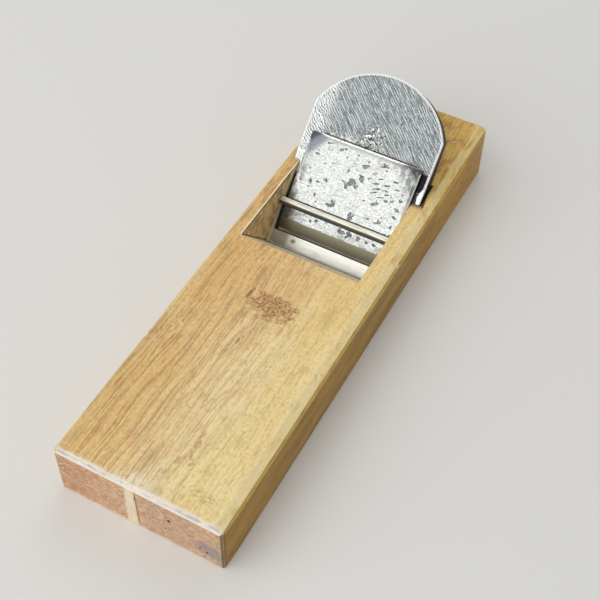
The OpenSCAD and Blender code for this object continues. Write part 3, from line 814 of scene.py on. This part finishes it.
# Bright soft iron, polished and then stained: white metal with soft grey clouds and specks.
PITTED_IRON = Finish(
    name="soft_iron_polished_and_pitted",
    colour="#B7BAB5",
    roughness=0.27,
    metallic=1.0,
    round_mm=0.2,
    tints=(
        Tint("#9B9D9A", 0.45, (Pattern((5.0, 6.0, 5.0), 0.46, 0.62, detail=5.0,
                                       space=Space.FACE),)),
        Tint("#ABA39E", 0.40, (Pattern((9.0, 5.0, 6.0), 0.50, 0.66, detail=4.0,
                                       origin_mm=(11, 3, 2), space=Space.FACE),)),
        Tint("#DCDDD9", 0.55, (Pattern((1.0, 0.9, 1.0), 0.46, 0.60, detail=3.0,
                                       origin_mm=(2, 7, 5), space=Space.FACE),)),
        Tint("#888C8E", 0.60, (RUST_SPECKS,)),
        Tint("#959A9C", 0.50, (
            Pattern((3.4, 0.8, 2.0), 0.56, 0.66, turn_deg=-16.0, space=Space.FACE),)),
        # painted shade on the two bent-down ears, blue-grey on the left and grey on the right, and the
        # band under the top end
        Tint("#7A8496", 0.50, (
            Spot((-28.5, 42.0, 0.0), (3.6, 4.6, 6.0), 0.5, ragged=0.8, space=Space.FACE),
            Pattern((1.6, 1.6, 1.6), 0.42, 0.58, detail=3.0, space=Space.FACE))),
        Tint("#6A6E78", 0.88, (Past((-0.81, 0.587, 0.0), 49.6, 54.0, Space.FACE),)),
        Tint("#5E6160", 0.80, (
            Past((0.868, 0.498, 0.0), 40.5, 47.5, Space.FACE), Past(REAR, 42.0, 50.0, Space.FACE),
            Pattern((3.0, 3.4, 4.0), 0.34, 0.52, detail=5.0, space=Space.FACE))),
        Tint("#73777A", 0.60, (Past(REAR, 56.8, 59.0, Space.FACE), Past(RIGHT, -24.0, -18.0))),
        Tint("#7B6253", 0.45, (
            Past(REAR, 56.0, 59.0, Space.FACE), Past(RIGHT, 6.0, 14.0),
            Pattern((3.0, 1.4, 2.0), 0.44, 0.58, detail=3.0, space=Space.FACE))),
        # a worn line along every edge, a painted highlight along the top end, and painted shadow lines
        # on both sides of the pin
        Tint("#F4F2EA", 0.85, (Facing(OUT_OF_FACE, 0.80, 0.90), Arris(0.5, 0.93), Past(UP, 20.0, 22.0))),
        Tint("#F8F6F0", 0.95, (
            Facing(OUT_OF_FACE, 0.80, 0.90), Arris(0.9, 0.95), Past(REAR, 58.8, 59.2, Space.FACE))),
        Tint("#F6F4EE", 0.95, (Facing(UP, 0.96, 0.985),)),
        Tint("#131210", 0.93, (
            Past(REAR, 22.9, 23.2, Space.FACE), Past(FRONT, -24.6, -24.2, Space.FACE))),
        Tint("#131210", 0.95, (
            Past(REAR, 19.3, 19.6, Space.FACE), Past(FRONT, -20.6, -20.3, Space.FACE))),
        # painted shadow of the cheek and the pin on the left end, below the pin
        Tint("#26241E", 0.85, (
            Past(LEFT, 26.0, 28.6), Past(FRONT, -22.0, -20.5, Space.FACE),
            Pattern((2.0, 2.0, 2.0), 0.30, 0.50, detail=3.0, space=Space.FACE))),
        # painted shadow of the cheek along the left margin and below the pin's left end, and grime under
        # the pin
        Tint("#5A5B53", 0.72, (
            Past(LEFT, 26.6, 29.0), Past(FRONT, -46.0, -40.0, Space.FACE),
            Pattern((2.4, 3.4, 2.4), 0.40, 0.56, detail=4.0, space=Space.FACE))),
        Tint("#5A5B58", 0.65, (
            Past(LEFT, 16.0, 27.0), Past(FRONT, -20.5, -18.5, Space.FACE),
            Pattern((2.4, 1.6, 2.0), 0.36, 0.58, detail=4.0, space=Space.FACE))),
        Tint("#6F7170", 0.60, (
            Past(FRONT, -19.5, -17.5, Space.FACE), Past(RIGHT, -4.0, 2.0),
            Pattern((3.0, 1.6, 2.0), 0.46, 0.60, detail=4.0, space=Space.FACE))),
        # front bevel without pits, sides painted dark as shade, side bevels painted pale as lit with
        # painted shade on parts
        Tint("#A6A390", 0.95, (PLATE_BEVEL,)),
        # painted shadow on the left end of the front bevel
        Tint("#33322C", 0.75, (PLATE_BEVEL, Past(LEFT, 22.0, 32.0))),
        Tint("#1C1A18", 0.94, PLATE_SIDES),
        Tint("#D3D3C9", 0.85, (LEFT_PLATE_BEVEL,)),
        Tint("#2A2821", 0.90, (LEFT_PLATE_BEVEL, Past(FRONT, -32.0, -26.0, Space.FACE))),
        Tint("#E6E6DF", 0.90, (RIGHT_PLATE_BEVEL,)),
        Tint("#5B5D58", 0.75, (
            RIGHT_PLATE_BEVEL, Past(REAR, 40.0, 46.0, Space.FACE), Past(LEFT, -28.1, -27.9),
            Pattern((3.0, 3.4, 4.0), 0.34, 0.52, detail=5.0, space=Space.FACE))),
        Tint("#80837A", 0.60, (
            LEFT_PLATE_BEVEL, Pattern((1.6, 2.4, 2.0), 0.46, 0.58, detail=4.0, space=Space.FACE))),
    ),
    crusts=(PLATE_SIDES, (LEFT_PLATE_BEVEL,), (RIGHT_PLATE_BEVEL,)),
    reliefs=(Relief(-0.03, (RUST_SPECKS,)),),
    sheens=(Sheen(0.15, (RUST_SPECKS,)), Sheen(0.25, (PLATE_BEVEL,)), Sheen(0.3, PLATE_SIDES)),
)

# Floor of the rust pits: dull grey oxide with a violet cast.
PIT_OXIDE = Finish(
    name="iron_oxide_in_pits",
    colour="#9A9EA0",
    roughness=0.55,
    metallic=0.8,
    tints=(Tint("#5A5A5E", 0.7, (Pattern((0.9, 0.9, 0.9), 0.46, 0.56, detail=3.0),)),),
)

# Ground steel of the chip breaker's edge strip: smooth, dulled by oil.
GROUND_STEEL = Finish(
    name="hard_steel_ground",
    colour="#C6C0AE",
    roughness=0.50,
    metallic=0.7,
    tints=(
        Tint("#8D8574", 0.5, (Pattern((14.0, 0.6, 3.0), 0.5, 0.66, space=Space.FACE),)),
        # painted shade along the very edge
        Tint("#2B2822", 0.85, (Past(FRONT, -7.4, -7.1, Space.FACE),)),
    ),
)

# Drawn steel rod, yellowed a little by old oil at its left end; its near-white, mostly non-metal colour
# is a painted highlight.
DRAWN_ROD = Finish(
    name="drawn_steel_rod",
    colour="#FFFBEB",
    roughness=0.42,
    metallic=0.15,
    tints=(
        Tint("#7A6448", 0.6, (
            Past(LEFT, 27.0, 33.0), Past(RIGHT, -37.0, -35.0),
            Pattern((5.0, 5.0, 5.0), 0.35, 0.6))),
        Tint("#A8A192", 0.4, (Pattern((7.0, 1.0, 1.0), 0.5, 0.65),)),
        # painted shade on the rod's lower front side
        Tint("#2B2720", 0.88, (Facing((0.0, -0.80, -0.59), 0.22, 0.38),)),
    ),
)


@dataclass(frozen=True)
class Surface:
    """Joins a CAD piece's triangles at their corners, and shades them flat up to real edges."""

    join_mm: float = 0.01
    edge_deg: float = 20.0

    def step(
        self, piece: bpy.types.Object, name: str,
        build: Callable[[bpy.types.NodeTree, Any], Any],
    ) -> None:
        """Adds one geometry step to the piece's modifiers.

        Args:
            piece: CAD object.
            name: Name of the step.
            build: Function that adds the nodes after a socket and returns the last one.
        """
        tree = bpy.data.node_groups.new(name, "GeometryNodeTree")
        for side in ("INPUT", "OUTPUT"):
            tree.interface.new_socket("Geometry", in_out=side, socket_type="NodeSocketGeometry")
        start = add(tree, "NodeGroupInput").outputs[0]
        add(tree, "NodeGroupOutput", {0: build(tree, start)})
        piece.modifiers.new(name, "NODES").node_group = tree

    def join(self, piece: bpy.types.Object) -> None:
        """Joins the triangles, so that the piece is one closed skin.

        Args:
            piece: CAD object.
        """
        self.step(piece, "joined_skin", lambda tree, mesh: add(
            tree, "GeometryNodeMergeByDistance", {0: mesh, "Distance": self.join_mm * MM},
        ).outputs[0])

    def shade(self, piece: bpy.types.Object) -> None:
        """Marks the real edges sharp and shades the rest smooth.

        Args:
            piece: CAD object.
        """
        def build(tree: bpy.types.NodeTree, mesh: Any) -> Any:
            """Adds the marking of the edges."""
            angle = add(tree, "GeometryNodeInputMeshEdgeAngle").outputs[0]
            sharp = add(tree, "ShaderNodeMath", {
                0: angle, 1: math.radians(self.edge_deg)}, operation="GREATER_THAN").outputs[0]
            return add(tree, "GeometryNodeSetMeshNormal", {
                0: mesh, "Remove Custom": True, "Edge Sharpness": sharp, "Face Sharpness": False,
            }).outputs[0]

        self.step(piece, "sharp_edges", build)


@dataclass(frozen=True)
class Nick:
    """A dent or pit, cut where a line from its start first meets the surface."""

    start_mm: tuple[float, float, float]
    length_mm: float
    width_mm: float
    depth_mm: float
    turn_deg: float = 0.0


@dataclass
class Nicks:
    """All dents of one kind in one piece, cut out of it by one hidden tool."""

    name: str
    body: str
    way: tuple[float, float, float]
    lengthwise: tuple[float, float, float]
    finish: Finish
    nicks: list[Nick]
    ragged: float = 0.25
    seed: int = 1

    def tool(self, piece: bpy.types.Object) -> bpy.types.Object:
        """Makes the hidden tool: one ragged lens for each nick, seated on the piece's surface.

        Args:
            piece: Object that the nicks go into.

        Returns:
            The tool.
        """
        chance = random.Random(self.seed)
        shape = bmesh.new()
        way = Vector(self.way).normalized()
        along = Vector(self.lengthwise).normalized()
        axes = Matrix((along, way.cross(along), way)).transposed().to_4x4()
        for nick in self.nicks:
            hit, place, _, _ = piece.ray_cast(Vector(nick.start_mm) * MM, way)
            if not hit:
                LOG.warning("%s: nothing to cut at %s", self.name, nick.start_mm)
                continue
            ball = bmesh.ops.create_icosphere(shape, subdivisions=3, radius=1.0)["verts"]
            drift = Vector((chance.random(), chance.random(), chance.random())) * 50
            # a lens whose middle is one depth above the surface and whose foot one below it
            half = Vector((nick.length_mm, nick.width_mm, 0.0)) * MM / math.sqrt(3)
            half.z = 2 * nick.depth_mm * MM
            turn = Matrix.Rotation(math.radians(nick.turn_deg), 4, "Z")
            seat = Matrix.Translation(place - way * nick.depth_mm * MM) @ axes @ turn
            for corner in ball:
                bulge = 1 + self.ragged * noise.noise(corner.co * 1.6 + drift) * 2
                corner.co = seat @ Vector(c * h * bulge for c, h in zip(corner.co, half))
        mesh = bpy.data.meshes.new(self.name)
        shape.to_mesh(mesh)
        shape.free()
        mesh.materials.append(self.finish.material())
        tool = bpy.data.objects.new(self.name, mesh)
        bpy.context.scene.collection.objects.link(tool)
        tool.hide_render = True
        tool.hide_viewport = True
        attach(tool, self.body)
        return tool

    def cut(self, piece: bpy.types.Object, tool: bpy.types.Object) -> None:
        """Cuts the nicks out of the piece, whose new faces take the tool's finish.

        Args:
            piece: Object that is cut.
            tool: The hidden tool.
        """
        cutter = piece.modifiers.new(self.name, "BOOLEAN")
        cutter.operation = "DIFFERENCE"
        cutter.solver = "EXACT"
        cutter.use_self = True
        cutter.material_mode = "TRANSFER"
        cutter.object = tool


@dataclass
class PlanePart:
    """One CAD node with its finish and the nicks of its life."""

    node: str
    finish: Finish
    nicks: list[Nicks] = field(default_factory=list)
    surface: Surface = Surface()

    def dress(self, nodes: dict[str, bpy.types.Object]) -> None:
        """Gives the node its material, its nicks and clean shading.

        Args:
            nodes: The frame's CAD objects by name.
        """
        piece = nodes[self.node]
        piece.data.materials.clear()
        piece.data.materials.append(self.finish.material())
        tools = [(kind, kind.tool(piece)) for kind in self.nicks]
        self.surface.join(piece)
        for kind, tool in tools:
            kind.cut(piece, tool)
        self.surface.shade(piece)
        cuts = sum(len(kind.nicks) for kind in self.nicks)
        LOG.info("%s: %s, %d nicks", self.node, self.finish.name, cuts)


@dataclass
class Block:
    """The oak block and the pin pressed through its cheeks."""

    above_mm: float = 60.0
    ahead_mm: float = -200.0

    def on_top(self, x: float, y: float, *size: float) -> Nick:
        """Places a nick in the top face.

        Args:
            x: Place across the block.
            y: Place along the block.
            *size: Length, width, depth and turn of the nick.

        Returns:
            The nick.
        """
        return Nick((x, y, self.above_mm), *size)

    def on_front(self, x: float, z: float, *size: float) -> Nick:
        """Places a nick in the front end.

        Args:
            x: Place across the block.
            z: Height above the sole.
            *size: Length, width, depth and turn of the nick.

        Returns:
            The nick.
        """
        return Nick((x, self.ahead_mm, z), *size)

    def knocks(self) -> Nicks:
        """Lists the knocks in the top face, each given by its place, size, depth and turn."""
        return Nicks("knocks_on_top", "block", DOWN, RIGHT, CRUSHED_OAK, [
            self.on_top(37.6, -50.2, 3.4, 2.4, 0.50, 50.0),
            self.on_top(35.6, -68.4, 7.0, 0.9, 0.35, 5.0),
            self.on_top(28.5, -67.3, 8.0, 0.5, 0.20, 6.0),
            self.on_top(-30.5, -53.4, 4.0, 0.7, 0.25, 30.0),
            self.on_top(-32.6, -55.6, 2.6, 0.6, 0.25, -50.0),
            self.on_top(-16.4, 3.9, 1.6, 1.2, 0.30, 0.0),
            self.on_top(15.7, 4.6, 1.5, 1.1, 0.30, 20.0),
            self.on_top(-40.2, -66.1, 3.0, 1.4, 0.60, 80.0),
            self.on_top(-40.2, 74.4, 3.2, 1.2, 0.50, 90.0),
            self.on_top(40.0, 25.5, 3.0, 1.0, 0.50, 85.0),
            self.on_top(29.9, 116.4, 3.2, 1.0, 0.30, -30.0),
            self.on_top(37.2, 56.7, 2.8, 0.8, 0.30, 50.0),
            self.on_top(-39.6, -134.2, 1.6, 1.2, 0.50, 0.0),
        ], seed=3)

    def cracks(self) -> Nicks:
        """Lists the drying crack and the dirt-filled holes in the front end."""
        return Nicks("cracks_in_front_end", "block", REAR, UP, PACKED_DIRT, [
            self.on_front(-1.0, 24.4, 3.4, 0.30, 0.35, 3.0),
            self.on_front(14.7, 18.6, 1.9, 1.6, 0.70, 20.0),
            self.on_front(12.6, 10.7, 1.2, 1.0, 0.40, 0.0),
            self.on_front(28.9, 8.8, 1.8, 1.0, 0.40, 40.0),
            self.on_front(32.2, 7.5, 1.5, 1.2, 0.40, 0.0),
        ], ragged=0.35, seed=5)

    def dress(self, nodes: dict[str, bpy.types.Object]) -> None:
        """Dresses the block and its pin."""
        PlanePart("plane_body", WHITE_OAK, [self.knocks(), self.cracks()]).dress(nodes)
        PlanePart("pressure_pin", DRAWN_ROD, surface=Surface(edge_deg=40.0)).dress(nodes)


@dataclass
class Irons:
    """The laminated blade and the chip breaker that rides on it."""

    above_face_mm: float = 30.0
    specks: int = 34
    plate_mm: tuple[float, float, float, float] = (-30.0, 27.0, 14.5, 58.0)

    def on_face(self, x: float, s: float, *size: float) -> Nick:
        """Places a pit in the plate of the chip breaker.

        Args:
            x: Place across the block.
            s: Height along the blade's face above the cutting edge.
            *size: Length, width, depth and turn of the pit.

        Returns:
            The pit.
        """
        start = (
            Vector(CUTTING_EDGE_MM) + Vector((x, 0.0, 0.0)) + Vector(UP_THE_FACE) * s
            + Vector(OUT_OF_FACE) * self.above_face_mm
        )
        return Nick(tuple(start), *size)

    def pits(self) -> Nicks:
        """Lists the rust pits of the chip breaker: the large ones by place, then small ones."""
        pits = [
            # cluster in the middle
            self.on_face(-5.0, 40.5, 4.2, 3.4, 0.16, 20.0),
            self.on_face(-2.2, 42.5, 4.6, 4.0, 0.20, 40.0),
            self.on_face(1.6, 45.5, 4.2, 3.2, 0.18, 50.0),
            self.on_face(-0.2, 41.0, 3.0, 2.2, 0.14, 0.0),
            # single large ones
            self.on_face(-8.8, 28.2, 4.4, 4.0, 0.24, 0.0),
            self.on_face(11.2, 55.4, 4.4, 1.9, 0.22, -12.0),
            self.on_face(-23.6, 36.1, 3.2, 1.7, 0.20, 80.0),
            self.on_face(-15.4, 38.8, 2.6, 1.6, 0.16, -10.0),
            self.on_face(-18.6, 30.2, 1.9, 1.7, 0.16, 0.0),
            self.on_face(-6.1, 47.2, 1.5, 1.5, 0.14, 0.0),
            self.on_face(1.3, 52.1, 3.4, 1.6, 0.14, -20.0),
            self.on_face(2.7, 26.1, 3.8, 2.6, 0.18, 70.0),
            self.on_face(12.5, 36.7, 4.8, 1.8, 0.14, -25.0),
            self.on_face(-13.0, 56.0, 3.4, 1.2, 0.10, -25.0),
            # near the left ear
            self.on_face(-20.6, 56.8, 4.4, 0.9, 0.14, -18.0),
            self.on_face(-24.8, 49.8, 2.4, 1.0, 0.12, 5.0),
            # long shallow ones that slant, right of the middle
            self.on_face(5.5, 47.4, 2.2, 0.9, 0.10, -30.0),
            self.on_face(9.2, 46.0, 3.6, 0.9, 0.10, -14.0),
            self.on_face(14.2, 46.8, 4.2, 0.9, 0.10, -18.0),
            self.on_face(10.6, 43.8, 4.4, 1.0, 0.12, -20.0),
            self.on_face(15.4, 44.4, 3.0, 0.8, 0.10, -12.0),
            self.on_face(9.6, 41.6, 3.8, 1.0, 0.10, -24.0),
            self.on_face(16.8, 42.6, 2.6, 1.0, 0.12, -10.0),
            self.on_face(13.2, 40.2, 3.4, 0.8, 0.10, -16.0),
            self.on_face(17.2, 39.6, 2.4, 1.2, 0.12, -30.0),
            self.on_face(18.8, 50.0, 2.8, 1.4, 0.14, -16.0),
            self.on_face(20.6, 46.8, 2.4, 1.2, 0.14, -8.0),
            self.on_face(10.8, 48.9, 3.0, 0.8, 0.08, -20.0),
            self.on_face(7.0, 50.6, 2.4, 0.8, 0.08, -24.0),
            # near the right side
            self.on_face(24.2, 45.4, 1.7, 1.3, 0.18, 0.0),
            self.on_face(24.2, 42.0, 2.8, 1.8, 0.20, 50.0),
            self.on_face(24.0, 37.5, 2.6, 2.0, 0.18, 20.0),
            self.on_face(24.0, 33.5, 2.4, 1.6, 0.16, 0.0),
            self.on_face(17.4, 28.6, 2.8, 2.2, 0.20, 60.0),
            self.on_face(24.0, 28.6, 1.8, 1.8, 0.18, 0.0),
            # below the pin
            self.on_face(-13.2, 18.0, 1.7, 1.4, 0.20, 0.0),
            self.on_face(-16.0, 17.2, 1.8, 1.3, 0.16, 30.0),
            self.on_face(0.6, 17.4, 4.2, 2.6, 0.20, 0.0),
            self.on_face(5.4, 17.6, 3.8, 2.8, 0.20, -30.0),
            self.on_face(10.6, 17.6, 2.4, 1.7, 0.22, -10.0),
            self.on_face(15.2, 17.4, 1.8, 1.4, 0.20, 0.0),
            self.on_face(19.4, 17.4, 2.2, 1.6, 0.20, 0.0),
        ]
        chance = random.Random(11)
        left, right, low, high = self.plate_mm
        for _ in range(self.specks):
            size = chance.uniform(0.6, 1.3)
            pits.append(self.on_face(
                chance.uniform(left, right), chance.uniform(low, high),
                size * chance.uniform(1.0, 1.8), size, 0.10, chance.uniform(-40.0, 20.0)))
        return Nicks("rust_pits", "breaker", tuple(-v for v in OUT_OF_FACE), RIGHT, PIT_OXIDE,
                     pits, ragged=0.45, seed=7)

    def dress(self, nodes: dict[str, bpy.types.Object]) -> None:
        """Dresses every layer of the two irons."""
        PlanePart("blade_iron", FILED_IRON).dress(nodes)
        PlanePart("blade_steel", LAPPED_STEEL).dress(nodes)
        PlanePart("chip_breaker", PITTED_IRON, [self.pits()]).dress(nodes)
        PlanePart("chip_breaker_steel", GROUND_STEEL).dress(nodes)


@dataclass
class Camera:
    """The photograph's viewpoint, solved from the block's edges."""

    place_mm: tuple[float, float, float] = (161.076, -307.278, 424.718)
    azimuth_deg: float = 27.3648
    elevation_deg: float = 50.2763
    roll_deg: float = 1.3399
    focal_px: float = 1126.614
    sensor_mm: float = 36.0

    def build(self) -> bpy.types.Object:
        """Makes the camera and makes it the scene's own.

        Returns:
            The camera object.
        """
        a, e, r = (math.radians(v) for v in (self.azimuth_deg, self.elevation_deg, self.roll_deg))
        level = Vector((math.cos(a), math.sin(a), 0.0))
        rise = Vector((-math.sin(a) * math.sin(e), math.cos(a) * math.sin(e), math.cos(e)))
        right = level * math.cos(r) + rise * math.sin(r)
        up = rise * math.cos(r) - level * math.sin(r)
        data = bpy.data.cameras.new("photo_camera")
        data.sensor_width = self.sensor_mm
        data.lens = self.focal_px / IMAGE_PX * self.sensor_mm
        data.clip_start = 0.01
        camera = bpy.data.objects.new("photo_camera", data)
        turn = Matrix((right, up, right.cross(up))).transposed().to_4x4()
        camera.matrix_world = Matrix.Translation(Vector(self.place_mm) * MM) @ turn
        bpy.context.scene.collection.objects.link(camera)
        bpy.context.scene.camera = camera
        return camera


@dataclass(frozen=True)
class Lamp:
    """A soft square lamp that looks at the plane."""

    name: str
    place_m: tuple[float, float, float]
    size_m: float
    power_w: float

    def build(self) -> None:
        """Makes the lamp and turns it towards the block."""
        data = bpy.data.lights.new(self.name, "AREA")
        data.size = self.size_m
        data.energy = self.power_w
        lamp = bpy.data.objects.new(self.name, data)
        lamp.location = self.place_m
        lamp.rotation_euler = (-Vector(self.place_m)).to_track_quat("-Z", "Y").to_euler()
        lamp.visible_camera = False
        bpy.context.scene.collection.objects.link(lamp)


@dataclass
class Studio:
    """Plain pale floor, plain soft light and the camera."""

    floor_m: float = 20.0
    floor_colour: str = "#E6E4DF"
    sky: float = 0.50
    lamps: tuple[Lamp, ...] = (
        Lamp("window_light", (-0.53, -1.12, 1.00), 2.2, 21.0),
        Lamp("back_light", (-0.15, 0.90, 0.90), 0.8, 2.5),
    )

    def build(self) -> None:
        """Makes the floor, the world, the lamps and the camera."""
        half = self.floor_m / 2
        mesh = bpy.data.meshes.new("floor")
        corners = [(-half, -half, 0), (half, -half, 0), (half, half, 0), (-half, half, 0)]
        mesh.from_pydata(corners, [], [(0, 1, 2, 3)])
        floor = bpy.data.objects.new("floor", mesh)
        floor.location.z = -0.0002
        bpy.context.scene.collection.objects.link(floor)
        mesh.materials.append(Finish("pale_matt_paper", self.floor_colour, 0.9).material())
        world = bpy.data.worlds.new("studio")
        world.use_nodes = True
        world.node_tree.nodes["Background"].inputs["Color"].default_value = linear("#F2F4F6")
        world.node_tree.nodes["Background"].inputs["Strength"].default_value = self.sky
        bpy.context.scene.world = world
        for lamp in self.lamps:
            lamp.build()
        Camera().build()
        bpy.context.scene.view_settings.view_transform = "Standard"


def main() -> None:
    """Builds the plane's looks and the studio around it."""
    logging.basicConfig(level=logging.INFO, format="%(name)s: %(message)s")
    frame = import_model()
    Block().dress(frame["nodes"])
    Irons().dress(frame["nodes"])
    Studio().build()


if __name__ == "__main__":
    main()
